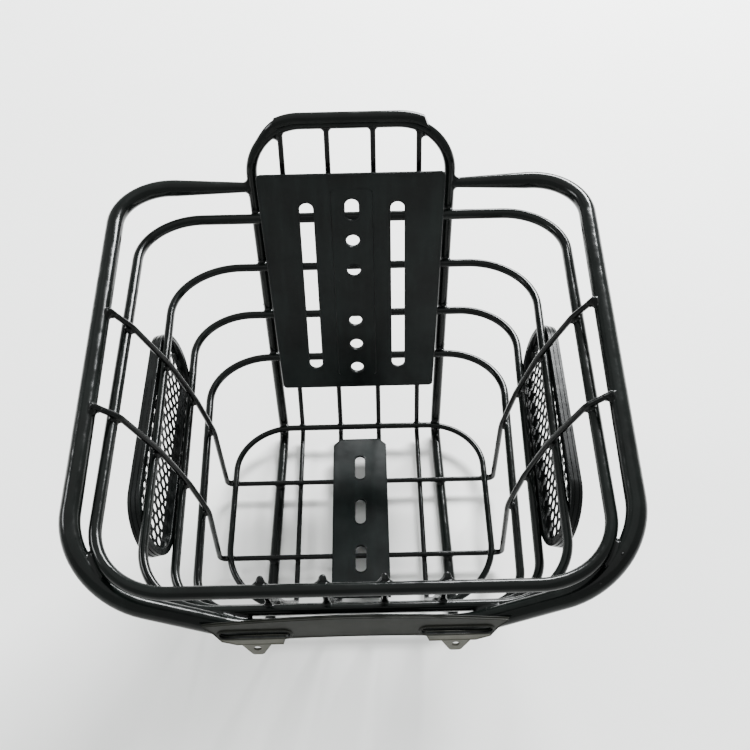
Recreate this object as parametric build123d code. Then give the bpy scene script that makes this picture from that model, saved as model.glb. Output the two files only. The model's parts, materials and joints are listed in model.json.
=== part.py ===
"""Handlebar basket: welded wire body, hoop frame, mounting plates and oval side mesh panels.

Millimetres. X across the basket, Y from the front of the basket towards the bicycle, Z up.
The pieces are laid out from the foot of the back wall, at the height of the floor ring, and
saved with the origin at the centre of the upper bolt hole of the back plate.
"""
import os
from math import acos, asin, atan, cos, hypot, radians, sin, sqrt, tan

from build123d import *

os.makedirs("parts", exist_ok=True)

# ---- rod and tube diameters -------------------------------------------------------------------
RIM_D = 12.0
TOP_RING_D = 7.5
RING_D = 6.0
FLOOR_RING_D = 5.0
HOOP_D = 8.0
WIRE_D = 4.0
BITE = 0.04                 # how far touching rods are pressed together for the welds
FACE_BITE = 0.01            # the same for sheets and strips lying along a rod

# ---- back wall --------------------------------------------------------------------------------
BACK_LEAN = 10.0            # degrees from the vertical, away from the basket
HOOP_TOP = 274.2            # slope distance from the floor ring to the top of the hoop
HOOP_HALF_TOP = 73.3
HOOP_HALF_FOOT = 65.7
HOOP_HALF_FRONT = 69.0
HOOP_CORNER_R = 38.0
HOOP_FOOT_R = 12.0
HOOP_END_Y = -190.0
SADDLE_RISE = 4.1           # thickness of the half-round saddle over the top of the hoop
SADDLE_HALF_OUTER = 50.0    # half width of the saddle on its outer face
SADDLE_HALF_INNER = 62.0    # half width where it feathers out on the hoop
SADDLE_SIDE = 0.6           # how far the saddle stands proud at the sides of the hoop
SADDLE_SHOULDER = 22.0      # above the start of the corner: where the ends begin to slope in

# ---- rings: height, half width at the back and front corners, front face, corner radii --------
RINGS = {
    "top_ring": (201.0, 154.7, 141.8, -281.0, 42.0, 46.0, TOP_RING_D),
    "ring_upper": (159.3, 136.8, 124.7, -268.0, 48.0, 46.0, RING_D),
    "ring_middle": (116.5, 125.3, 114.6, -242.5, 42.0, 32.0, RING_D),
    "ring_lower": (75.2, 118.0, 108.4, -220.5, 45.0, 28.0, RING_D),
    "floor_ring": (0.0, 103.2, 101.5, -176.0, 45.0, 55.0, FLOOR_RING_D),
}

# ---- rim tube: closed U from one hoop leg to the other, dipping at the front --------------------
RIM_BACK_Z = 227.0          # centreline height at the back corners
RIM_END_Z = 222.5           # the same where the tube meets a hoop leg
RIM_HALF_BACK = 167.7
RIM_HALF_FRONT = 156.2
RIM_CORNER_Z = 201.7
RIM_FRONT_Y = -276.8
RIM_FRONT_Z = 152.5         # centreline height where the front run starts
RIM_FRONT_RISE = 5.0        # extra height on the centre plane
RIM_FRONT_HALF = 62.0
RIM_BACK_R = 38.0
RIM_FRONT_R = 50.0
RIM_DIP_R = 49.0
RIM_CROWN_R = 600.0
RIM_NECK_D = 7.0            # the tube tapers to this where it meets a hoop leg
RIM_NECK_L = 52.0

# ---- length wires ------------------------------------------------------------------------------
LENGTH_WIRE_PITCH = 33.0
LENGTH_WIRE_BEND = 9.0
WALL_BEND_R = 60.0          # slight bends of any wire where it runs up a wall from ring to ring
LENGTH_WIRE_OVER = 2.0      # how far the front ends rise past the top ring

# ---- cross wires: where each lies on the floor and how it leans --------------------------------
CROSS_WIRES = {"cross_wire_rear": (-55.7, -0.127), "cross_wire_front": (-128.3, -0.153)}
CROSS_WIRE_FLOOR_HALF = 110.0
CROSS_WIRE_BEND = 5.0
CROSS_WIRE_TOP_BEND = 14.0
CROSS_WIRE_OVER = 1.5       # how far the ends run past their contact with the rim tube

# ---- back plate --------------------------------------------------------------------------------
BACK_PLATE_T = 1.5
BACK_PLATE_BOTTOM = 48.0
BACK_PLATE_TOP = 241.0
BACK_PLATE_HALF_BOTTOM = 61.5
BACK_PLATE_HALF_TOP = 68.0
BACK_PLATE_SLOT_X = 33.5
BACK_PLATE_SLOT_W = 11.0
BACK_PLATE_SLOT = (67.0, 219.0)
BACK_PLATE_HOLE_D = 11.0
BACK_PLATE_HOLES = (68.3, 91.5, 114.7, 160.7, 186.8)
BACK_PLATE_DATUM_HOLE = 186.8
BACK_PLATE_SHORT_SLOT = (204.0, 222.0)
BACK_PLATE_BAND_W = 31.0
BACK_PLATE_BAND_RISE = 0.7
BACK_PLATE_BAND_END = 12.0  # flat left above and below the pressed band
BACK_PLATE_CORNER_R = 3.0

# ---- floor plate -------------------------------------------------------------------------------
FLOOR_PLATE_T = 1.5
FLOOR_PLATE_W = 44.0
FLOOR_PLATE_REAR = -13.0
FLOOR_PLATE_FRONT = -166.0
FLOOR_PLATE_CHAMFER = 6.0
FLOOR_SLOT_W = 9.0
FLOOR_SLOT_L = 25.0
FLOOR_SLOT_PITCH = 44.5
FLOOR_SLOT_MID_Y = -87.7

# ---- front plate and lamp ears -------------------------------------------------------------------
FRONT_PLATE_T = 1.5
FRONT_PLATE_HALF = 84.0
FRONT_PLATE_CROWN = 176.5
FRONT_PLATE_TIP = 170.8
FRONT_PLATE_BOTTOM = 157.5
FRONT_LOBE_BOTTOM = 150.2
FRONT_LOBE_INNER = 39.0
FRONT_LOBE_OUTER = 75.0
FRONT_LOBE_DROP = 4.0       # height of the bevelled corner of a lobe
FRONT_LOBE_RISE = 13.6      # height where a lobe's side turns out to the tip of the arch
FRONT_SLOT_X = 56.0
FRONT_SLOT_L = 40.0
FRONT_SLOT_W = 8.0
FRONT_SLOT_Z = 161.5
FRONT_SLOT_LIP = 1.2
FRONT_SLOT_LIP_RISE = 0.4
FRONT_SLOT_LIP_ROOT = 0.4   # the lip starts this far down inside the sheet
EAR_W = 17.0
EAR_TIP_W = 6.0
EAR_TIP_R = 2.2
EAR_BOTTOM = 138.5
EAR_HOLE_D = 4.5
EAR_HOLE_Z = 145.5

# ---- oval side panels --------------------------------------------------------------------------
PANEL_L = 184.0
PANEL_H = 53.0
PANEL_DEPTH = 8.0
PANEL_RIM_W = 4.8           # from the outer edge to the mesh opening
PANEL_LIP_T = 2.4
PANEL_SEAT = 4.0            # depth of the opening's wall, down to the mesh
PANEL_GROOVE = 1.0
PANEL_EDGE_R = 0.7
PANEL_MID_Y = -120.8
PANEL_MID_Z = 139.2
PANEL_TILT = 1.8            # degrees, front end higher than the wires it lies on
MESH_T = 1.0
MESH_PITCH = 7.3
MESH_STRAND = 1.7
MESH_CELL_R = 0.9
BEAD_W = 1.2                # bead that holds the mesh in its frame
BEAD_T = 1.4

# ---- derived -----------------------------------------------------------------------------------
LEAN = radians(BACK_LEAN)
OUTER_FACE = RING_D / 2     # every ring touches this plane at the back, measured off the lean plane
HOOP_OFF = OUTER_FACE + HOOP_D / 2 - BITE
WIRE_OFF = OUTER_FACE + WIRE_D / 2 - BITE
CROSS_Z = -(FLOOR_RING_D + WIRE_D) / 2 + BITE
LENGTH_Z = CROSS_Z - WIRE_D + BITE
HOOP_Z = CROSS_Z - (WIRE_D + HOOP_D) / 2 + BITE


def back_point(x, slope, off):
    """A point on the leaning back wall, off mm behind the plane of the ring centres."""
    return (x, slope * sin(LEAN) + off * cos(LEAN), slope * cos(LEAN) - off * sin(LEAN))


def ring_back_y(z, dia):
    return z * tan(LEAN) + (OUTER_FACE - dia / 2) / cos(LEAN)


def rounded_path(points, radii, closed=False):
    """Straight runs joined by arcs, with one bend radius for each corner."""
    pts = [Vector(*p) for p in points]
    count = len(pts)
    corners = range(count) if closed else range(1, count - 1)
    arcs = []
    for i, radius in zip(corners, radii):
        a, b, c = pts[i - 1], pts[i], pts[(i + 1) % count]
        u, v = (a - b).normalized(), (c - b).normalized()
        half = acos(max(-1, min(1, u.dot(v)))) / 2
        mid = (u + v).normalized()
        start, end = b + u * (radius / tan(half)), b + v * (radius / tan(half))
        top = b + mid * (radius / sin(half) - radius)
        arcs.append((start, top, end))
    edges = []
    if closed:
        seam = (arcs[-1][2] + arcs[0][0]) / 2
        here = seam
    else:
        here = pts[0]
    for start, top, end in arcs:
        edges += [Line(here, start), ThreePointArc(start, top, end)]
        here = end
    edges.append(Line(here, seam if closed else pts[-1]))
    return Wire(edges)


def rod(points, radii, dia, closed=False):
    path = rounded_path(points, radii, closed)
    section = Plane(origin=path @ 0, z_dir=path % 0) * Circle(dia / 2)
    return sweep(section, path=path)


def save(shape, name):
    plate = back_plate_plane()
    datum = plate.origin + plate.y_dir * BACK_PLATE_DATUM_HOLE
    datum += plate.z_dir * (BACK_PLATE_T + BACK_PLATE_BAND_RISE) / 2
    shape = Pos(*(datum * -1)) * shape
    shape.label = name
    export_step(shape, f"parts/{name}.step")


# ---- rings ---------------------------------------------------------------------------------------
def make_ring(name):
    z, half_back, half_front, y_front, r_back, r_front, dia = RINGS[name]
    y_back = ring_back_y(z, dia)
    corners = [(half_back, y_back, z), (half_front, y_front, z),
               (-half_front, y_front, z), (-half_back, y_back, z)]
    return rod(corners, (r_back, r_front, r_front, r_back), dia, closed=True)


def ring_half_at(name, y):
    z, half_back, half_front, y_front, _, _, dia = RINGS[name]
    y_back = ring_back_y(z, dia)
    return half_back + (half_front - half_back) * (y_back - y) / (y_back - y_front)


# ---- rim tube ------------------------------------------------------------------------------------
def hoop_half(slope):
    """Half width of the hoop's centreline on its straight legs."""
    foot = HOOP_Z / cos(LEAN)
    return HOOP_HALF_FOOT + (HOOP_HALF_TOP - HOOP_HALF_FOOT) * (slope - foot) / (HOOP_TOP - foot)


def rim_points():
    slope = RIM_END_Z / cos(LEAN)
    end = back_point(hoop_half(slope), slope, HOOP_OFF)
    back = (RIM_HALF_BACK, RIM_BACK_Z * tan(LEAN), RIM_BACK_Z)
    corner = (RIM_HALF_FRONT, RIM_FRONT_Y, RIM_CORNER_Z)
    dip = (RIM_FRONT_HALF, RIM_FRONT_Y, RIM_FRONT_Z)
    return end, back, corner, dip


def make_rim():
    end, back, corner, dip = rim_points()
    run = (Vector(*back) - Vector(*end)).normalized()
    neck = Vector(*end) + run * (HOOP_D / 2 + RIM_NECK_L)
    right = [tuple(neck), back, corner, dip]
    left = [(-p[0], p[1], p[2]) for p in reversed(right)]
    crown = (0, RIM_FRONT_Y, RIM_FRONT_Z + RIM_FRONT_RISE)
    radii = (RIM_BACK_R, RIM_FRONT_R, RIM_DIP_R)
    tube = rod(right + [crown] + left, radii + (RIM_CROWN_R,) + radii[::-1], RIM_D)
    pinch = loft([Plane(origin=end, z_dir=run) * Circle(RIM_NECK_D / 2),
                  Plane(origin=neck, z_dir=run) * Circle(RIM_D / 2)])
    return tube + pinch + mirror(pinch, about=Plane.YZ) - make_hoop()


# ---- hoop frame ----------------------------------------------------------------------------------
def make_hoop():
    foot_slope = HOOP_Z / cos(LEAN)
    top = back_point(HOOP_HALF_TOP, HOOP_TOP, HOOP_OFF)
    foot = back_point(HOOP_HALF_FOOT, foot_slope, HOOP_OFF)
    foot = (foot[0], foot[1], HOOP_Z)
    end = (HOOP_HALF_FRONT, HOOP_END_Y, HOOP_Z)
    right = [end, foot, top]
    left = [(-p[0], p[1], p[2]) for p in reversed(right)]
    radii = (HOOP_FOOT_R, HOOP_CORNER_R)
    return rod(right + left, radii + radii[::-1], HOOP_D)


def make_hoop_strip():
    """Half-round saddle over the top of the hoop, feathered out at both ends."""
    shift = SADDLE_RISE - SADDLE_SIDE
    half, top, bend = HOOP_HALF_TOP + shift, HOOP_TOP + shift, HOOP_CORNER_R + shift
    low = HOOP_TOP - HOOP_CORNER_R
    arch = [back_point(x, slope, HOOP_OFF) for x, slope in
            ((half, low - HOOP_CORNER_R), (half, top), (-half, top), (-half, low - HOOP_CORNER_R))]
    cover = rod(arch, (bend, bend), HOOP_D + 2 * SADDLE_SIDE)
    plane = Plane(origin=back_point(0, 0, HOOP_OFF), x_dir=(1, 0, 0),
                  z_dir=(0, cos(LEAN), -sin(LEAN)))
    inner, outer = SADDLE_HALF_INNER, SADDLE_HALF_OUTER
    shoulder, crest = low + SADDLE_SHOULDER, HOOP_TOP + HOOP_D + SADDLE_RISE
    keep = make_face(Polyline((-inner, -low), (inner, -low), (inner, -shoulder),
                              (outer, -crest), (-outer, -crest), (-inner, -shoulder),
                              close=True))
    return (cover & extrude(plane * keep, HOOP_D, both=True)) - make_hoop()


# ---- wires ---------------------------------------------------------------------------------------
def arch_underside(x):
    """Slope distance at which a wire of the back wall meets the underside of the hoop."""
    inner = HOOP_CORNER_R - HOOP_D / 2
    start = HOOP_HALF_TOP - HOOP_CORNER_R
    reach = max(0.0, abs(x) + WIRE_D / 4 - start)
    return HOOP_TOP - HOOP_CORNER_R + sqrt(inner ** 2 - reach ** 2)


def front_contacts():
    """Points (y, z) of a wire that runs up the inside of the front wall, bottom to top."""
    names = ["floor_ring", "ring_lower", "ring_middle", "ring_upper", "top_ring"]
    centres = [(RINGS[n][3], RINGS[n][0], RINGS[n][6]) for n in names]
    points = []
    for i, (y, z, dia) in enumerate(centres):
        low, high = centres[max(i - 1, 0)], centres[min(i + 1, len(centres) - 1)]
        dy, dz = high[0] - low[0], high[1] - low[1]
        reach = (dia + WIRE_D) / 2 - BITE
        points.append((y + reach * dz / hypot(dy, dz), z - reach * dy / hypot(dy, dz)))
    return points


def make_length_wire(x):
    top = back_point(x, arch_underside(x), WIRE_OFF)
    foot = (x, back_point(x, LENGTH_Z / cos(LEAN), WIRE_OFF)[1], LENGTH_Z)
    wall = front_contacts()
    (y0, z0), (y1, z1) = wall[0], wall[1]
    toe = (x, y0 - (y1 - y0) * (z0 - LENGTH_Z) / (z1 - z0), LENGTH_Z)
    (ya, za), (yb, zb) = wall[-2], wall[-1]
    run = LENGTH_WIRE_OVER / hypot(yb - ya, zb - za)
    end = (x, yb + (yb - ya) * run, zb + (zb - za) * run)
    points = [top, foot, toe] + [(x, y, z) for y, z in wall[1:-1]] + [end]
    return rod(points, (LENGTH_WIRE_BEND, LENGTH_WIRE_BEND) + 3 * (WALL_BEND_R,), WIRE_D)


def make_cross_wire(floor_y, lean):
    """U-shaped wire: up the inside of the side walls, ends laid against the rim tube."""
    names = ["top_ring", "ring_upper", "ring_middle", "ring_lower"]
    slope = hypot(1, lean)
    centres = [(ring_half_at(n, floor_y + lean * RINGS[n][0]), RINGS[n][0], RINGS[n][6])
               for n in names]
    _, back, corner, _ = rim_points()
    y = floor_y + lean * RIM_BACK_Z
    part = (back[1] - y) / (back[1] - corner[1])
    rim_x = back[0] + (corner[0] - back[0]) * part
    rim_z = back[2] + (corner[2] - back[2]) * part
    reach = (RIM_D + WIRE_D) / 2 - BITE
    low = (CROSS_WIRE_FLOOR_HALF, CROSS_Z, 0)
    chain = [(rim_x, rim_z, 0)] + centres + [low]
    side = []
    for i in range(1, len(chain) - 1):
        (xa, za, _), (xb, zb, dia), (xc, zc, _) = chain[i - 1], chain[i], chain[i + 1]
        dx, dz = xa - xc, za - zc
        gap = (dia + WIRE_D) / 2 - BITE
        side.append((xb - gap * dz / hypot(dx, dz), zb + gap * dx / hypot(dx, dz)))
    x1, z1 = side[0]
    span = hypot(rim_x - x1, rim_z - z1)
    aim = atan((rim_z - z1) / (rim_x - x1)) + asin(reach / span)
    run = sqrt(span ** 2 - reach ** 2) + CROSS_WIRE_OVER
    side = [(x1 + run * cos(aim), z1 + run * sin(aim))] + side + [low[:2]]
    right = [(x, floor_y + lean * z, z) for x, z in side]
    left = [(-p[0], p[1], p[2]) for p in reversed(right)]
    radii = (CROSS_WIRE_TOP_BEND,) + 3 * (WALL_BEND_R,) + (CROSS_WIRE_BEND,)
    return rod(right + left, radii + radii[::-1], WIRE_D)


# ---- plates --------------------------------------------------------------------------------------
def back_plate_plane():
    """Plane of the plate's rear face, resting on the top ring and on the lower ring."""
    def centre(name):
        z, dia = RINGS[name][0], RINGS[name][6]
        return ring_back_y(z, dia), z, dia / 2

    (y1, z1, r1), (y2, z2, r2) = centre("ring_lower"), centre("top_ring")
    span = hypot(y2 - y1, z2 - z1)
    lean = asin((y2 - y1) / span) - asin((r2 - r1) / span)
    normal = Vector(0, -cos(lean), sin(lean))
    origin = Vector(0, y1, z1) + normal * (r1 - BITE)
    up = Vector(0, sin(lean), cos(lean))
    origin = origin - up * (z1 / cos(LEAN))
    return Plane(origin=origin, x_dir=(1, 0, 0), z_dir=normal)


def make_back_plate():
    plane = back_plate_plane()
    low, high = BACK_PLATE_BOTTOM, BACK_PLATE_TOP
    outline = make_face(Polyline((-BACK_PLATE_HALF_BOTTOM, low), (BACK_PLATE_HALF_BOTTOM, low),
                                 (BACK_PLATE_HALF_TOP, high), (-BACK_PLATE_HALF_TOP, high),
                                 close=True))
    outline = fillet(outline.vertices(), BACK_PLATE_CORNER_R)
    start, stop = BACK_PLATE_SLOT
    cuts = [Pos(sx * BACK_PLATE_SLOT_X, (start + stop) / 2)
            * SlotOverall(stop - start, BACK_PLATE_SLOT_W, rotation=90) for sx in (-1, 1)]
    cuts += [Pos(0, s) * Circle(BACK_PLATE_HOLE_D / 2) for s in BACK_PLATE_HOLES]
    start, stop = BACK_PLATE_SHORT_SLOT
    cuts.append(Pos(0, (start + stop) / 2)
                * SlotOverall(stop - start, BACK_PLATE_HOLE_D, rotation=90))
    sheet = extrude(plane * outline, BACK_PLATE_T)
    band = Pos(0, (low + high) / 2) * RectangleRounded(
        BACK_PLATE_BAND_W, high - low - 2 * BACK_PLATE_BAND_END, BACK_PLATE_CORNER_R)
    raised = extrude(plane.offset(BACK_PLATE_T) * band, BACK_PLATE_BAND_RISE, taper=35)
    sheet = sheet + raised
    for cut in cuts:
        sheet = sheet - extrude(plane * cut, 4 * BACK_PLATE_T, both=True)
    return sheet


def make_floor_plate():
    length = FLOOR_PLATE_REAR - FLOOR_PLATE_FRONT
    mid = (FLOOR_PLATE_REAR + FLOOR_PLATE_FRONT) / 2
    outline = Rectangle(FLOOR_PLATE_W, length)
    outline = chamfer(outline.vertices().group_by(Axis.Y)[-1], FLOOR_PLATE_CHAMFER)
    outline = Pos(0, mid) * outline
    for k in (-1, 0, 1):
        outline = outline - Pos(0, FLOOR_SLOT_MID_Y + k * FLOOR_SLOT_PITCH) * SlotOverall(
            FLOOR_SLOT_L, FLOOR_SLOT_W, rotation=90)
    return extrude(Pos(0, 0, CROSS_Z + WIRE_D / 2 - BITE) * outline, FLOOR_PLATE_T)


def front_plate_outline():
    """One arch from tip to tip, a straight lower edge and a lobe under each slot."""
    half, inner, outer = FRONT_PLATE_HALF, FRONT_LOBE_INNER, FRONT_LOBE_OUTER
    top = ThreePointArc((-half, FRONT_PLATE_TIP), (0, FRONT_PLATE_CROWN), (half, FRONT_PLATE_TIP))
    low, drop = FRONT_LOBE_BOTTOM, FRONT_LOBE_DROP
    right = [(half, FRONT_PLATE_TIP), (outer + drop, low + FRONT_LOBE_RISE), (outer, low + drop),
             (outer - 2 * drop, low), (inner + drop / 2, low), (inner, FRONT_PLATE_BOTTOM)]
    left = [(-x, z) for x, z in reversed(right)]
    return make_face([top, Polyline(*right, *left)])


def make_front_plate():
    plane = Plane(origin=(0, RIM_FRONT_Y - RIM_D / 2 + FACE_BITE, 0), x_dir=(1, 0, 0),
                  z_dir=(0, -1, 0))
    sheet = extrude(plane * front_plate_outline(), FRONT_PLATE_T)
    for sx in (-1, 1):
        place = plane.offset(FRONT_PLATE_T - FRONT_SLOT_LIP_ROOT)
        place = place * Pos(sx * FRONT_SLOT_X, FRONT_SLOT_Z)
        lip = SlotOverall(FRONT_SLOT_L + 2 * FRONT_SLOT_LIP, FRONT_SLOT_W + 2 * FRONT_SLOT_LIP)
        sheet = sheet + extrude(place * lip, FRONT_SLOT_LIP_RISE + FRONT_SLOT_LIP_ROOT, taper=25)
    for sx in (-1, 1):
        hole = plane * Pos(sx * FRONT_SLOT_X, FRONT_SLOT_Z) * SlotOverall(FRONT_SLOT_L, FRONT_SLOT_W)
        sheet = sheet - extrude(hole, 4 * FRONT_PLATE_T, both=True)
    return sheet


def make_ear(sx):
    plane = Plane(origin=(0, RIM_FRONT_Y - RIM_D / 2, 0), x_dir=(1, 0, 0), z_dir=(0, -1, 0))
    shape = make_face(Polyline((-EAR_W / 2, FRONT_LOBE_BOTTOM), (EAR_W / 2, FRONT_LOBE_BOTTOM),
                               (EAR_TIP_W / 2, EAR_BOTTOM), (-EAR_TIP_W / 2, EAR_BOTTOM),
                               close=True))
    shape = fillet(shape.vertices().group_by(Axis.Y)[0], EAR_TIP_R)
    shape = shape - Pos(0, EAR_HOLE_Z) * Circle(EAR_HOLE_D / 2)
    return extrude(plane * Pos(sx * FRONT_SLOT_X, 0) * shape, FRONT_PLATE_T)


# ---- oval side panels ----------------------------------------------------------------------------
def panel_plane():
    """Plane touching the outsides of the upper and middle rings on the +X side."""
    upper, middle = RINGS["ring_upper"], RINGS["ring_middle"]
    xu, xm = ring_half_at("ring_upper", PANEL_MID_Y), ring_half_at("ring_middle", PANEL_MID_Y)
    taper = (upper[2] - upper[1]) / (upper[3] - ring_back_y(upper[0], RING_D))
    along = Vector(-taper, -1, 0).normalized()
    up = Vector(xu - xm, 0, upper[0] - middle[0])
    normal = up.cross(along).normalized()
    if normal.X < 0:
        normal = -normal
    rise = (PANEL_MID_Z - middle[0]) / (upper[0] - middle[0])
    origin = Vector(xm + (xu - xm) * rise, PANEL_MID_Y, PANEL_MID_Z)
    origin += normal * (RING_D / 2 - FACE_BITE)
    tilt = radians(PANEL_TILT)
    length = along * cos(tilt) + up.normalized() * sin(tilt)
    return Plane(origin=origin, x_dir=length, z_dir=normal)


def make_panel_frame():
    """Deep oval rim with grooved sides, a wall around the opening and a bead behind the mesh."""
    def hoop(inset, width, start, height):
        outer = SlotOverall(PANEL_L - 2 * inset, PANEL_H - 2 * inset)
        hole = inset + width
        inner = SlotOverall(PANEL_L - 2 * hole, PANEL_H - 2 * hole)
        return extrude(Pos(0, 0, start) * (outer - inner), height)

    band = (PANEL_DEPTH - 2 * PANEL_GROOVE) / 3
    body = hoop(0, PANEL_RIM_W, 0, PANEL_SEAT)
    lip = hoop(0, PANEL_LIP_T, 0, PANEL_DEPTH)
    frame = body + lip
    frame = fillet(frame.faces().sort_by(Axis.Z)[0].edges(), PANEL_EDGE_R)
    for start in (band, 2 * band + PANEL_GROOVE):
        frame = frame - hoop(-1, 1 + PANEL_GROOVE / 2, start, PANEL_GROOVE)
    bead = hoop(PANEL_LIP_T, BEAD_W, PANEL_SEAT + MESH_T, BEAD_T)
    return panel_plane() * (frame + bead)


def mesh_cells(length, height):
    """Centres of the staggered cells whose openings lie within a stadium outline."""
    step = MESH_PITCH * sqrt(3) / 2
    columns, rows = int(length / step / 2), int(height / MESH_PITCH / 2) + 1
    flat = (length - height) / 2
    for column in range(-columns, columns + 1):
        for row in range(-rows, rows + 1):
            x, y = column * step, (row + 0.5 * (column % 2)) * MESH_PITCH
            if hypot(max(abs(x) - flat, 0.0), y) < height / 2 - MESH_STRAND:
                yield x, y


def make_mesh():
    """Flat sheet with a honeycomb of openings, their points along the panel."""
    plane = panel_plane().offset(PANEL_SEAT)
    grow = PANEL_RIM_W - PANEL_LIP_T
    length, height = PANEL_L - 2 * PANEL_RIM_W, PANEL_H - 2 * PANEL_RIM_W
    sheet = SlotOverall(length + 2 * grow, height + 2 * grow)
    cell = RegularPolygon((MESH_PITCH - MESH_STRAND) / 2, 6, major_radius=False)
    cell = fillet(cell.vertices(), MESH_CELL_R)
    cells = [Pos(x, y) * cell for x, y in mesh_cells(length, height)]
    return extrude(plane * (sheet - cells), MESH_T)


# ---- build ---------------------------------------------------------------------------------------
for ring_name in RINGS:
    save(make_ring(ring_name), ring_name)

save(make_rim(), "rim_tube")
save(make_hoop(), "hoop_frame")
save(make_hoop_strip(), "hoop_strip")

for number in range(4):
    save(make_length_wire((number - 1.5) * LENGTH_WIRE_PITCH), f"length_wire_{number + 1}")

for wire_name, (wire_y, wire_lean) in CROSS_WIRES.items():
    save(make_cross_wire(wire_y, wire_lean), wire_name)

save(make_back_plate(), "back_plate")
save(make_floor_plate(), "floor_plate")
save(make_front_plate(), "front_plate")
save(make_ear(-1), "lamp_ear_left")
save(make_ear(1), "lamp_ear_right")

panel_frame, panel_mesh = make_panel_frame(), make_mesh()
save(panel_frame, "panel_frame_right")
save(panel_mesh, "panel_mesh_right")
save(mirror(panel_frame, about=Plane.YZ), "panel_frame_left")
save(mirror(panel_mesh, about=Plane.YZ), "panel_mesh_left")
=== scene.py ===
"""Handlebar basket: black dip-coated wire, plates and side mesh panels, on a plain pale floor."""
import json
import math
import random

import bmesh
import bpy
import numpy as np
from mathutils import Matrix, Vector, noise
from mathutils.bvhtree import BVHTree


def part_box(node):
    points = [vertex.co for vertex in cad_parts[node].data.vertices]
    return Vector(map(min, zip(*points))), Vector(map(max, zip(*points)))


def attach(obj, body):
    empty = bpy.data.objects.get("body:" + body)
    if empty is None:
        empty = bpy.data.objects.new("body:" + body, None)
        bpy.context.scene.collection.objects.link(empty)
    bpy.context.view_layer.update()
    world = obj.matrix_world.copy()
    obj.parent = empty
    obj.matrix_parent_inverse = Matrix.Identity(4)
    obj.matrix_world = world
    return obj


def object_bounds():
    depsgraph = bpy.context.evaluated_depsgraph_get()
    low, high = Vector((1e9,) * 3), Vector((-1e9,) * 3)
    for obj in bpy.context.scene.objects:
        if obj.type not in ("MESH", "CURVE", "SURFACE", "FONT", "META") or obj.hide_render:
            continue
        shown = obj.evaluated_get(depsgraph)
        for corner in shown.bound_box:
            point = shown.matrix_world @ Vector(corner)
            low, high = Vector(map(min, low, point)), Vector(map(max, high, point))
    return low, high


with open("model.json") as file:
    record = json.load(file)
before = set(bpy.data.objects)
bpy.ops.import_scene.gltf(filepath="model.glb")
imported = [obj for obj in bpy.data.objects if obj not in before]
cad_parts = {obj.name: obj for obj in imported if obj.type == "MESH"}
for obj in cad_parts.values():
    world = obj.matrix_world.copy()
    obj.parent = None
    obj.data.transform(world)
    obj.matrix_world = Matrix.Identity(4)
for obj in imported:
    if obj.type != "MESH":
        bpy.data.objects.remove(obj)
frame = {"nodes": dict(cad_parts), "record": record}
nodes = frame["nodes"]
cad_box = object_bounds()
low, high = Vector(cad_box[0]), Vector(cad_box[1])
centre = (low + high) / 2

MM = 0.001
RINGS = ["top_ring", "ring_upper", "ring_middle", "ring_lower", "floor_ring"]
LENGTH_WIRES = ["length_wire_%d" % k for k in (1, 2, 3, 4)]
CROSS_WIRES = ["cross_wire_rear", "cross_wire_front"]
WIRES = LENGTH_WIRES + CROSS_WIRES
RODS = RINGS + ["rim_tube", "hoop_frame", "hoop_strip"]
SHEETS = ["back_plate", "floor_plate"]
FRONT_SHEETS = ["front_plate", "lamp_ear_left", "lamp_ear_right"]
FRAMES = ["panel_frame_left", "panel_frame_right"]
MESHES = ["panel_mesh_left", "panel_mesh_right"]


# ---- materials ----------------------------------------------------------------------------------
# Noise scales are in cells per metre, bump distances in metres, colours linear.
SMEAR_TINT = (0.012, 0.015, 0.0135)
SPECK_TINT = (0.05, 0.058, 0.054)
GRAIN_TINT = (0.060, 0.068, 0.064)
# Painted reflection of the pale floor on the front plate's lobes and ears: its dark and pale
# colours, and where it fades in.
LOBE_REFLECTION_DARK, LOBE_REFLECTION_PALE = (0.050, 0.049, 0.040), (0.105, 0.102, 0.084)
LOBE_REFLECTION_FADE = (0.5 * MM, -2.0 * MM)  # where the painted reflection starts and is full, from the slots' lower edge
FLOOR_DARK, FLOOR_PALE = (0.90, 0.895, 0.875), (0.94, 0.935, 0.92)


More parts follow.
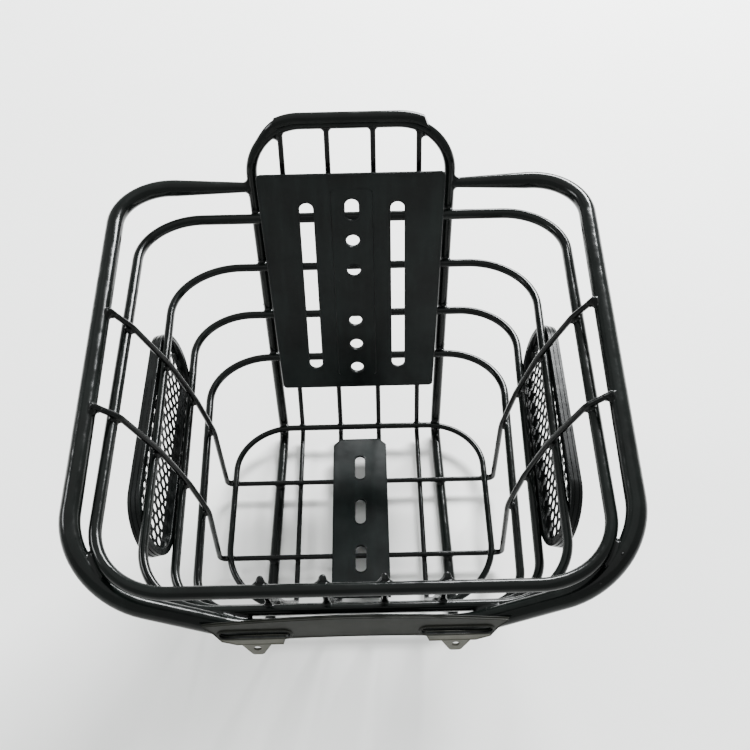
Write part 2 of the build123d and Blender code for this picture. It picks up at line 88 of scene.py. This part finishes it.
class Graph:
    """A short way to add and link shader nodes."""

    def __init__(self, name):
        self.material = bpy.data.materials.new(name)
        self.material.use_nodes = True
        self.tree = self.material.node_tree
        self.bsdf = next(n for n in self.tree.nodes if n.type == "BSDF_PRINCIPLED")
        self.place = self.tree.nodes.new("ShaderNodeTexCoord").outputs["Object"]

    def link(self, source, target):
        self.tree.links.new(source, target)

    def noise(self, scale, detail, rough, stretch=None):
        node = self.tree.nodes.new("ShaderNodeTexNoise")
        node.inputs["Scale"].default_value = scale
        node.inputs["Detail"].default_value = detail
        node.inputs["Roughness"].default_value = rough
        place = self.place
        if stretch:
            mapping = self.tree.nodes.new("ShaderNodeMapping")
            mapping.inputs["Scale"].default_value = stretch
            self.link(place, mapping.inputs["Vector"])
            place = mapping.outputs["Vector"]
        self.link(place, node.inputs["Vector"])
        return node.outputs["Fac"]

    def ramp(self, source, *stops):
        """Map a value through (position, grey) stops."""
        node = self.tree.nodes.new("ShaderNodeValToRGB")
        elements = node.color_ramp.elements
        while len(elements) < len(stops):
            elements.new(0.5)
        for element, (at, value) in zip(elements, stops):
            element.position = at
            element.color = (value, value, value, 1)
        self.link(source, node.inputs["Fac"])
        return node.outputs["Color"]

    def blend(self, factor, a, b):
        """Mix two colours; either may be a plain (r, g, b)."""
        node = self.tree.nodes.new("ShaderNodeMix")
        node.data_type = "RGBA"
        factor_in, a_in, b_in = [s for s in node.inputs if s.enabled]
        self.link(factor, factor_in)
        for target, value in ((a_in, a), (b_in, b)):
            if isinstance(value, tuple):
                target.default_value = value + (1,)
            else:
                self.link(value, target)
        return next(s for s in node.outputs if s.enabled)

    def bump(self, *layers):
        """Chain bump layers, each (height, strength, distance)."""
        normal = None
        for source, strength, distance in layers:
            node = self.tree.nodes.new("ShaderNodeBump")
            node.inputs["Strength"].default_value = strength
            node.inputs["Distance"].default_value = distance
            self.link(source, node.inputs["Height"])
            if normal is not None:
                self.link(normal, node.inputs["Normal"])
            normal = node.outputs["Normal"]
        self.link(normal, self.bsdf.inputs["Normal"])

    def set(self, **values):
        for key, value in values.items():
            self.bsdf.inputs[key.replace("_", " ")].default_value = value


def dip_coat(name, dark, pale, gloss, runs):
    """Thick black dip over steel: soft runs, orange peel, dull dusty patches, fine specks."""
    g = Graph(name)
    broad = g.noise(26, 5, 0.6)
    peel = g.noise(380, 3, 0.5)
    specks = g.noise(1700, 2, 0.7)
    smears = g.noise(75, 6, 0.65, (1.0, 0.4, 2.0))
    drips = g.noise(70, 2, 0.4)
    body = g.blend(g.ramp(broad, (0.38, 0.0), (0.74, 1.0)), dark, pale)
    body = g.blend(g.ramp(smears, (0.56, 0.0), (0.80, 0.30)), body, SMEAR_TINT)
    body = g.blend(g.ramp(specks, (0.72, 0.0), (0.77, 0.30)), body, SPECK_TINT)
    g.link(body, g.bsdf.inputs["Base Color"])
    g.link(g.ramp(smears, (0.35, gloss), (0.75, gloss + 0.14)), g.bsdf.inputs["Roughness"])
    g.bump((drips, runs, 0.0012), (peel, 0.16, 0.00012), (specks, 0.05, 0.00005))
    g.set(Specular_IOR_Level=0.12, Coat_Weight=0.06, Coat_Roughness=0.05, Coat_IOR=1.5)
    return g.material


def sheet_coat(name, dark, pale, gloss, tint, painted_light=None):
    """Satin black coating on pressed sheet: soft patches, rubbed streaks, fine grain."""
    g = Graph(name)
    clouds = g.noise(26, 3, 0.5)
    blotches = g.noise(60, 2, 0.5)
    streaks = g.noise(40, 5, 0.6, (3.5, 0.6, 0.5))
    grain = g.noise(950, 3, 0.6)
    peel = g.noise(240, 3, 0.5)
    body = g.blend(g.ramp(clouds, (0.38, 0.0), (0.68, 1.0)), dark, pale)
    body = g.blend(g.ramp(streaks, (0.48, 0.0), (0.82, 0.45)), body, tint)
    body = g.blend(g.ramp(grain, (0.69, 0.0), (0.76, 0.35)), body, GRAIN_TINT)
    # Optional painted light, laid over the coat's colour.
    if painted_light:
        body = painted_light(g, body)
    g.link(body, g.bsdf.inputs["Base Color"])
    sheen = g.ramp(blotches, (0.32, gloss - 0.01), (0.68, gloss + 0.08))
    g.link(sheen, g.bsdf.inputs["Roughness"])
    g.bump((clouds, 0.35, 0.0009), (peel, 0.20, 0.00016), (grain, 0.08, 0.00005))
    g.set(Specular_IOR_Level=0.13, Coat_Weight=0.04, Coat_Roughness=0.12, Coat_IOR=1.5)
    return g.material


def floor_paint(name):
    """Plain pale paint for the floor, hardly mottled."""
    g = Graph(name)
    clouds = g.noise(3.0, 5, 0.6)
    grain = g.noise(240, 4, 0.6)
    tone = g.blend(g.ramp(clouds, (0.3, 0.0), (0.7, 1.0)), FLOOR_DARK, FLOOR_PALE)
    g.link(tone, g.bsdf.inputs["Base Color"])
    g.bump((grain, 0.05, 0.0002))
    g.set(Roughness=0.6, Specular_IOR_Level=0.25)
    return g.material


def dress(names, material):
    """Give whole CAD nodes one material."""
    for name in names:
        obj = nodes[name]
        obj.data.materials.clear()
        obj.data.materials.append(material)
        for polygon in obj.data.polygons:
            polygon.material_index = 0


def lamp_slots():
    """Height, distance from the middle, half height and half length of the front plate's slots."""
    mount = next(m for m in frame["record"]["mounts"] if m["name"] == "lamp_slots")
    dims = mount["dims"]
    return (mount["pos_m"][2], dims["spacing_x_mm"] / 2 * MM, dims["hole_r_mm"] * MM,
            dims["slot_length_mm"] / 2 * MM)


def painted_lobe_reflection(g, body):
    """Painted reflection of the pale floor on the lobes and ears under the slots: a warm grey at
    the bottom.
    """
    slot_z, _, slot_half, _ = lamp_slots()
    parts = g.tree.nodes.new("ShaderNodeSeparateXYZ")
    g.link(g.place, parts.inputs["Vector"])
    fall = g.tree.nodes.new("ShaderNodeMapRange")
    g.link(parts.outputs["Z"], fall.inputs["Value"])
    fall.inputs["From Min"].default_value = slot_z - slot_half + LOBE_REFLECTION_FADE[0]
    fall.inputs["From Max"].default_value = slot_z - slot_half + LOBE_REFLECTION_FADE[1]
    mottled = g.blend(g.noise(150, 5, 0.6), LOBE_REFLECTION_DARK, LOBE_REFLECTION_PALE)
    return g.blend(fall.outputs["Result"], body, mottled)


def paint_slot_shade():
    """Painted shade: the inner walls of the lamp slots get the darker wire coat."""
    slot_z, slot_x, half_height, half_length = lamp_slots()
    margin, steep = 0.1 * MM, 0.2
    mesh = nodes["front_plate"].data
    mesh.materials.append(wire_coat)
    for polygon in mesh.polygons:
        spot = polygon.center
        inside = (abs(spot.z - slot_z) < half_height + margin
                  and abs(abs(spot.x) - slot_x) < half_length + margin)
        if inside and abs(polygon.normal.y) < steep:
            polygon.material_index = 1


rod_coat = dip_coat("rod_coat", dark=(0.0014, 0.0020, 0.0017), pale=(0.0034, 0.0050, 0.0043),
                    gloss=0.14, runs=0.5)
wire_coat = dip_coat("wire_coat", dark=(0.0016, 0.0020, 0.0019), pale=(0.0034, 0.0043, 0.0040),
                     gloss=0.20, runs=0.35)
frame_coat = dip_coat("frame_coat", dark=(0.0022, 0.0027, 0.0026), pale=(0.0050, 0.0062, 0.0058),
                      gloss=0.22, runs=0.2)
mesh_coat = dip_coat("mesh_coat", dark=(0.0020, 0.0024, 0.0023), pale=(0.0046, 0.0056, 0.0053),
                     gloss=0.24, runs=0.1)
weld_coat = dip_coat("weld_coat", dark=(0.0016, 0.0020, 0.0018), pale=(0.0036, 0.0045, 0.0041),
                     gloss=0.12, runs=0.5)
plate_coat = sheet_coat("plate_coat", dark=(0.0016, 0.0026, 0.0025), pale=(0.0050, 0.0078, 0.0074),
                        gloss=0.30, tint=(0.010, 0.0155, 0.0145))
# Lighter, olive coat for the front plate: partly the sheet's own dark coat, partly a painted
# reflection of the pale floor.
face_coat = sheet_coat("face_coat", dark=(0.0040, 0.0046, 0.0030), pale=(0.0085, 0.0090, 0.0062),
                       gloss=0.46, tint=(0.014, 0.0145, 0.0105), painted_light=painted_lobe_reflection)

dress(RODS, rod_coat)
dress(WIRES, wire_coat)
dress(SHEETS, plate_coat)
dress(FRONT_SHEETS, face_coat)
paint_slot_shade()
dress(FRAMES, frame_coat)
dress(MESHES, mesh_coat)


# ---- where the parts touch ----------------------------------------------------------------------
class Surface:
    """A CAD node's surface: a search tree, and points over it no further apart than a step."""

    def __init__(self, name, step=1.2 * MM):
        mesh = nodes[name].data
        points = np.empty(len(mesh.vertices) * 3)
        mesh.vertices.foreach_get("co", points)
        points = points.reshape(-1, 3)
        ends = np.empty(len(mesh.edges) * 2, dtype=int)
        mesh.edges.foreach_get("vertices", ends)
        a, b = points[ends[0::2]], points[ends[1::2]]
        count = np.maximum(1, np.ceil(np.linalg.norm(b - a, axis=1) / step).astype(int))
        edge = np.repeat(np.arange(len(a)), count)
        place = np.arange(len(edge)) - np.repeat(np.cumsum(count) - count, count)
        along = (place / count[edge])[:, None]
        self.points = a[edge] * (1 - along) + b[edge] * along
        self.low, self.high = points.min(axis=0), points.max(axis=0)
        self.tree = BVHTree.FromPolygons([v.co.copy() for v in mesh.vertices],
                                         [tuple(p.vertices) for p in mesh.polygons])

    def near(self, other, margin=1 * MM):
        """The points that lie in the box of another surface."""
        above, below = self.points > other.low - margin, self.points < other.high + margin
        return [Vector(p) for p in self.points[(above & below).all(axis=1)]]

    def nearest(self, point):
        hit, normal, _, _ = self.tree.find_nearest(point)
        return hit, normal


surfaces = {name: Surface(name) for name in nodes}


def contacts(a, b, reach=0.55 * MM, apart=9 * MM, soften=0.05 * MM):
    """Where the surface of b touches a: (point, normal from b towards a) for each place."""
    groups = []
    for point in surfaces[a].near(surfaces[b]):
        hit, normal, _, distance = surfaces[b].tree.find_nearest(point, reach)
        if hit is None:
            continue
        weight = 1 / (distance + soften)
        for group in groups:
            if (group[0] / group[2] - hit).length < apart:
                group[0] += hit * weight
                group[1] += normal * weight
                group[2] += weight
                break
        else:
            groups.append([hit * weight, normal * weight, weight])
    return [(total / weight, normal.normalized()) for total, normal, weight in groups]


def ragged(point, scale):
    """A smooth wobble between about -1 and 1, fixed by the place alone."""
    return noise.noise(point * scale)


WELD_SIDES = 28  # directions round a weld
WELD_STEPS = 7  # points along its concave arc
WELD_WANDER = 0.22  # how much its radius varies, as a share of it
WELD_START = 4  # first guess of the arc's centre, in radii from the contact
WELD_ROUNDS = 14  # rounds that settle the centre one radius from both surfaces
WELD_REACH = 5  # farthest that centre may be, in radii
WELD_SHORT_ARM = 0.15  # below this the two ends of the arc point opposite ways
WELD_SINK = 0.35 * MM  # how deep its borders are buried
WELD_PROUD = 0.03 * MM  # how far its arc stands off the settled radius
WELD_TIP = 0.9 * MM  # how deep in each body it closes


def fillet_ring(bm, a, b, point, normal, size):
    """A coated weld: a concave skirt that joins two surfaces all round the place they touch."""
    side = normal.orthogonal().normalized()
    other = normal.cross(side)
    rows = []
    for k in range(WELD_SIDES):
        turn = math.tau * k / WELD_SIDES
        out = side * math.cos(turn) + other * math.sin(turn)
        across = out.cross(normal)
        radius = size * (1 + WELD_WANDER * ragged(point + out * size, 420.0))
        middle = point + out * (WELD_START * size)
        for _ in range(WELD_ROUNDS):
            for surface in (a, b):
                hit, _ = surface.nearest(middle)
                away = middle - hit
                if away.length < 1e-7:
                    continue
                middle += away * (radius / away.length - 1)
                middle -= across * (middle - point).dot(across)
        if (middle - point).length > WELD_REACH * size:
            middle = point + (middle - point).normalized() * (WELD_REACH * size)
        from_a, normal_a = a.nearest(middle)
        from_b, normal_b = b.nearest(middle)
        u, v = from_a - middle, from_b - middle
        row = [from_a - normal_a * WELD_SINK]
        for step in range(WELD_STEPS):
            t = step / (WELD_STEPS - 1)
            arm = u.normalized() * (1 - t) + v.normalized() * t
            if arm.length < WELD_SHORT_ARM:
                arm = point - middle
            reach = u.length * (1 - t) + v.length * t
            row.append(middle + arm.normalized() * (reach + WELD_PROUD))
        row.append(from_b - normal_b * WELD_SINK)
        rows.append([bm.verts.new(p) for p in row])
    for row, after in zip(rows, rows[1:] + rows[:1]):
        for (p, q), (r, s) in zip(zip(row, row[1:]), zip(after, after[1:])):
            bm.faces.new((p, q, s, r))
    for end, lift in ((0, normal), (-1, -normal)):
        tip = bm.verts.new(point + lift * WELD_TIP)
        for row, after in zip(rows, rows[1:] + rows[:1]):
            bm.faces.new((row[end], after[end], tip))


def add_object(name, data):
    obj = bpy.data.objects.new(name, data)
    bpy.context.scene.collection.objects.link(obj)
    return obj


def add_piece(name, data, material):
    """Make a visible piece of a mesh or curve."""
    data.materials.append(material)
    piece = add_object(name, data)
    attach(piece, "root")


def add_mesh_piece(name, bm, material):
    """Make a visible smooth piece."""
    bmesh.ops.recalc_face_normals(bm, faces=bm.faces)
    mesh = bpy.data.meshes.new(name)
    bm.to_mesh(mesh)
    bm.free()
    mesh.polygons.foreach_set("use_smooth", [True] * len(mesh.polygons))
    add_piece(name, mesh, material)


def weld(name, pairs, size):
    """One piece with a fillet at every place where the named pairs touch."""
    bm = bmesh.new()
    for a, b in pairs:
        for point, normal in contacts(a, b):
            fillet_ring(bm, surfaces[a], surfaces[b], point, normal, size)
    if bm.verts:
        add_mesh_piece(name, bm, weld_coat)
    else:
        bm.free()


for ring in RINGS:
    weld("welds_" + ring, [(wire, ring) for wire in WIRES], 1.9 * MM)
weld("welds_wires", [(cross, wire) for cross in CROSS_WIRES for wire in LENGTH_WIRES], 1.5 * MM)
weld("welds_hoop_top", [(wire, "hoop_frame") for wire in LENGTH_WIRES], 2.6 * MM)
weld("welds_hoop_legs", [(ring, "hoop_frame") for ring in RINGS + CROSS_WIRES], 2.2 * MM)
weld("welds_rim_ends", [("rim_tube", "hoop_frame")], 3.6 * MM)
weld("welds_rim", [(part, "rim_tube") for part in ["top_ring", "ring_upper"] + CROSS_WIRES],
     2.2 * MM)


# ---- coated ends, spatter, edges and the saddle -------------------------------------------------
def joined_mesh(name):
    """A CAD node's mesh as a bmesh, with the vertices that its faces share joined."""
    bm = bmesh.new()
    bm.from_mesh(nodes[name].data)
    bmesh.ops.remove_doubles(bm, verts=bm.verts, dist=0.001 * MM)
    return bm


def rod_ends(name, gap=10 * MM, sharp=1.2):
    """Centre and outward direction of each cut end of a rod."""
    bm = joined_mesh(name)
    rims = []
    for edge in bm.edges:
        if edge.calc_face_angle(0) < sharp:
            continue
        for rim in rims:
            if (next(iter(rim)).co - edge.verts[0].co).length < gap:
                rim.update(edge.verts)
                break
        else:
            rims.append(set(edge.verts))
    ends = []
    for rim in rims:
        caps = [f for f in bm.faces if all(v in rim for v in f.verts)]
        direction = sum((f.normal * f.calc_area() for f in caps), Vector()).normalized()
        ends.append((sum((v.co for v in rim), Vector()) / len(rim), direction))
    bm.free()
    return ends


# A wire's coated end: millimetres past the cut, and half width where it meets the rod it lies on.
LUMP_RUN = [(0.75, 0.5), (0.55, 1.3), (0.1, 2.0), (-0.5, 2.9), (-1.1, 3.9), (-1.8, 4.8),
            (-2.6, 5.0), (-3.4, 4.4), (-4.2, 3.4), (-5.0, 2.6), (-5.8, 2.15), (-6.8, 1.85)]
# Right half of its section: across, and towards the rod. The widest point is inside the rod.
LUMP_SECTION = [(0.55, -2.15), (1.25, -1.75), (1.85, -1.0), (2.3, -0.2), (2.95, 0.65),
                (3.9, 1.4), (5.0, 2.0), (5.0, 2.9), (2.5, 3.1)]
LUMP_CORE = 2.0  # half width that stays with the wire; the rest of the section is the wing
LUMP_WING = 3.0  # full width of that wing
LUMP_DEEP = 3.2  # half width at which the side towards the rod has its full depth
LUMP_TIPS = (0.9, -7.0)  # where the lump closes, past the cut


def close_tube(bm, rows):
    """Faces between closed rows of vertices."""
    for row, after in zip(rows, rows[1:]):
        for p, q, r, s in zip(row, row[1:] + row[:1], after[1:] + after[:1], after):
            bm.faces.new((p, q, r, s))


def lump(bm, end, axis, rod):
    """A tent of coat over a wire's cut end, spreading along the rod the wire lies on."""
    start = end - axis * (3 * MM)
    hit, _ = rod.nearest(start)
    toward = hit - start
    toward = (toward - axis * toward.dot(axis)).normalized()
    along = axis.cross(toward)
    outline = LUMP_SECTION + [(-x, t) for x, t in reversed(LUMP_SECTION)]
    rows = []
    for past, wide in LUMP_RUN:
        row = []
        for x, t in outline:
            wing = max(0.0, abs(x) - LUMP_CORE) * max(0.0, wide - LUMP_CORE) / LUMP_WING
            core = min(abs(x), LUMP_CORE) * min(1.0, wide / LUMP_CORE)
            x = math.copysign(core + wing, x)
            t *= min(1.0, wide / (LUMP_CORE if t < 0 else LUMP_DEEP))
            place = end + (axis * past + along * x + toward * t) * MM
            place += (along * x + toward * t).normalized() * (0.2 * MM * ragged(place, 330.0))
            row.append(bm.verts.new(place))
        rows.append(row)
    close_tube(bm, rows)
    for row, past in ((rows[0], LUMP_TIPS[0]), (rows[-1], LUMP_TIPS[1])):
        tip = bm.verts.new(end + axis * (past * MM))
        for p, q in zip(row, row[1:] + row[:1]):
            bm.faces.new((p, q, tip))


def lumps(name, wires, rod, chosen):
    """One piece with a lump on each chosen end of the wires."""
    bm = bmesh.new()
    for wire in wires:
        for end, axis in rod_ends(wire):
            if chosen(end):
                lump(bm, end, axis, surfaces[rod])
    add_mesh_piece(name, bm, weld_coat)


BEAD_RADIUS = (0.35 * MM, 0.8 * MM)
BEAD_FLATTEN = 0.4  # share of its height that a bead loses
BEAD_LIFT = 0.1  # its centre above the surface, in radii


def spatter(name, on, others, count, spread, seed):
    """Small half-sunk beads of weld spatter near the places where rods touch."""
    pick = random.Random(seed)
    bm = bmesh.new()
    for other in others:
        for point, _ in contacts(other, on):
            for _ in range(count):
                throw = Vector([pick.gauss(0, spread) for _ in range(3)])
                hit, normal = surfaces[on].nearest(point + throw)
                size = pick.uniform(*BEAD_RADIUS)
                made = bmesh.ops.create_icosphere(bm, subdivisions=2, radius=size)["verts"]
                for v in made:
                    v.co *= 1 + 0.25 * ragged(hit + v.co, 900.0)
                    v.co -= normal * (BEAD_FLATTEN * v.co.dot(normal))
                    v.co += hit + normal * (BEAD_LIFT * size)
    add_mesh_piece(name, bm, weld_coat)


def coat_edges(name, node, radius, material, sharp=1.0):
    """Beads of coat drawn along the sheared edges of a sheet, holes and slots included."""
    bm = joined_mesh(node)
    left = {e for e in bm.edges if e.calc_face_angle(0) > sharp}
    curve = bpy.data.curves.new(name, "CURVE")
    curve.dimensions = "3D"
    curve.bevel_depth = radius
    curve.bevel_resolution = 2
    for first in sorted(left, key=lambda e: e.index):
        if first not in left:
            continue
        left.discard(first)
        chain = list(first.verts)
        while True:
            step = next((e for e in chain[-1].link_edges if e in left), None)
            if step is None:
                break
            left.discard(step)
            chain.append(step.other_vert(chain[-1]))
        spline = curve.splines.new("POLY")
        closed = chain[0] == chain[-1]
        chain = chain[:-1] if closed else chain
        spline.points.add(len(chain) - 1)
        for point, vert in zip(spline.points, chain):
            point.co = (*vert.co, 1)
            point.radius = 1 + 0.35 * ragged(vert.co, 150.0)
        spline.use_cyclic_u = closed
        spline.use_smooth = True
    bm.free()
    add_piece(name, curve, material)


HOOP_LEAN = 10  # degrees from upright
STRIP_CENTRE = 4.6 * MM  # the strip's section centre, below and before the top of its box
HUB_DROP, HUB_SIDE = 41.5 * MM, 35.3 * MM  # the middle of the hoop's corner, from the crest
RUN_START, RUN_SWEEP = 14, 44  # degrees round that corner
RUN_SINK, RUN_RISE = 4 * MM, 3.6 * MM  # the bead's centre under the hoop's skin, and its rise
RUN_RADIUS, RUN_SWELL = 3.85 * MM, 0.6 * MM  # its radius where thin, and what its thick end adds
RUN_TURNS, RUN_SIDES = 22, 20


def run_out(name, side):
    """A bead of coat that fades one end of the saddle into the hoop's corner."""
    hoop, lean = surfaces["hoop_frame"], math.radians(HOOP_LEAN)
    up = Vector((0, math.sin(lean), math.cos(lean)))
    back = Vector((0, math.cos(lean), -math.sin(lean)))
    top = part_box("hoop_strip")[1]
    crest = Vector((0, top[1] - STRIP_CENTRE, top[2] - STRIP_CENTRE))
    hub = crest - up * HUB_DROP + Vector((side * HUB_SIDE, 0, 0))
    rows = []
    bm = bmesh.new()
    for j in range(RUN_TURNS):
        fade = j / (RUN_TURNS - 1)
        turn = math.radians(RUN_START + RUN_SWEEP * fade)
        out = up * math.cos(turn) + Vector((side * math.sin(turn), 0, 0))
        hit, _, _, _ = hoop.tree.ray_cast(hub + out * (80 * MM), -out)
        ease = 0.5 + 0.5 * math.cos(math.pi * fade)
        place = hit - out * (RUN_SINK - RUN_RISE * ease)
        radius = RUN_RADIUS + RUN_SWELL * ease
        rows.append([])
        for k in range(RUN_SIDES):
            around = math.tau * k / RUN_SIDES
            spoke = out * math.cos(around) + back * math.sin(around)
            spot = place + spoke * radius
            rows[-1].append(bm.verts.new(spot + spoke * (0.10 * MM * ragged(spot, 200.0))))
    close_tube(bm, rows)
    bm.faces.new(rows[0])
    bm.faces.new(rows[-1])
    add_mesh_piece(name, bm, rod_coat)


run_out("saddle_run_out", -1)
coat_edges("edge_coat_back", "back_plate", 0.42 * MM, plate_coat)
coat_edges("edge_coat_floor", "floor_plate", 0.40 * MM, plate_coat)
coat_edges("edge_coat_front", "front_plate", 0.35 * MM, face_coat)
lumps("lumps_front", LENGTH_WIRES, "top_ring", lambda end: end.y < centre.y)
lumps("lumps_sides", CROSS_WIRES, "rim_tube", lambda end: True)
spatter("spatter_front", "rim_tube", ["ring_upper", "top_ring"], count=5, spread=7 * MM, seed=5)
spatter("spatter_back", "hoop_frame", RINGS + ["rim_tube"], count=2, spread=5 * MM, seed=9)


# ---- camera -------------------------------------------------------------------------------------
CAMERA_AT = (0.0132, -0.58585, 0.47806)
CAMERA_TURN, CAMERA_DOWN, CAMERA_ROLL = -0.11, 46.92, -1.26  # degrees

camera_data = bpy.data.cameras.new("camera")
camera = add_object("camera", camera_data)
bpy.context.scene.camera = camera
camera_data.lens = 48.0
camera_data.sensor_width = 36.0
camera_data.clip_start = 0.02
camera.matrix_world = (Matrix.Translation(CAMERA_AT)
                       @ Matrix.Rotation(math.radians(CAMERA_TURN), 4, "Z")
                       @ Matrix.Rotation(math.radians(90 - CAMERA_DOWN), 4, "X")
                       @ Matrix.Rotation(math.radians(CAMERA_ROLL), 4, "Z"))


# ---- floor and light ----------------------------------------------------------------------------
FLOOR_HALF = 6.0
FLOOR_GAP = 0.5 * MM
DAYLIGHT = (0.97, 0.99, 1.0)
SKY, SKY_STRENGTH = (0.92, 0.96, 0.95, 1), 0.95

floor_mesh = bpy.data.meshes.new("floor")
bm = bmesh.new()
bmesh.ops.create_grid(bm, x_segments=2, y_segments=2, size=FLOOR_HALF)
bm.to_mesh(floor_mesh)
bm.free()
floor = add_object("floor", floor_mesh)
floor.location = (0, 0, low.z - FLOOR_GAP)
floor.data.materials.append(floor_paint("floor_paint"))


def area_light(name, offset, size, power, colour=(1, 1, 1)):
    """A rectangular light, placed from the basket's middle and aimed at it."""
    data = bpy.data.lights.new(name, "AREA")
    data.shape = "RECTANGLE"
    data.size, data.size_y = size
    data.energy = power
    data.color = colour
    lamp = add_object(name, data)
    lamp.location = centre + Vector(offset)
    lamp.rotation_euler = (centre - lamp.location).to_track_quat("-Z", "Y").to_euler()


area_light("window", (0.75, 2.0, 1.35), size=(1.2, 0.5), power=230, colour=DAYLIGHT)
area_light("ceiling", (-0.3, 0.1, 2.6), size=(3.4, 3.4), power=26)
area_light("side", (-1.9, 0.6, 1.1), size=(0.7, 0.4), power=22, colour=DAYLIGHT)

world = bpy.data.worlds.new("world")
world.use_nodes = True
background = world.node_tree.nodes["Background"]
background.inputs["Color"].default_value = SKY
background.inputs["Strength"].default_value = SKY_STRENGTH
bpy.context.scene.world = world
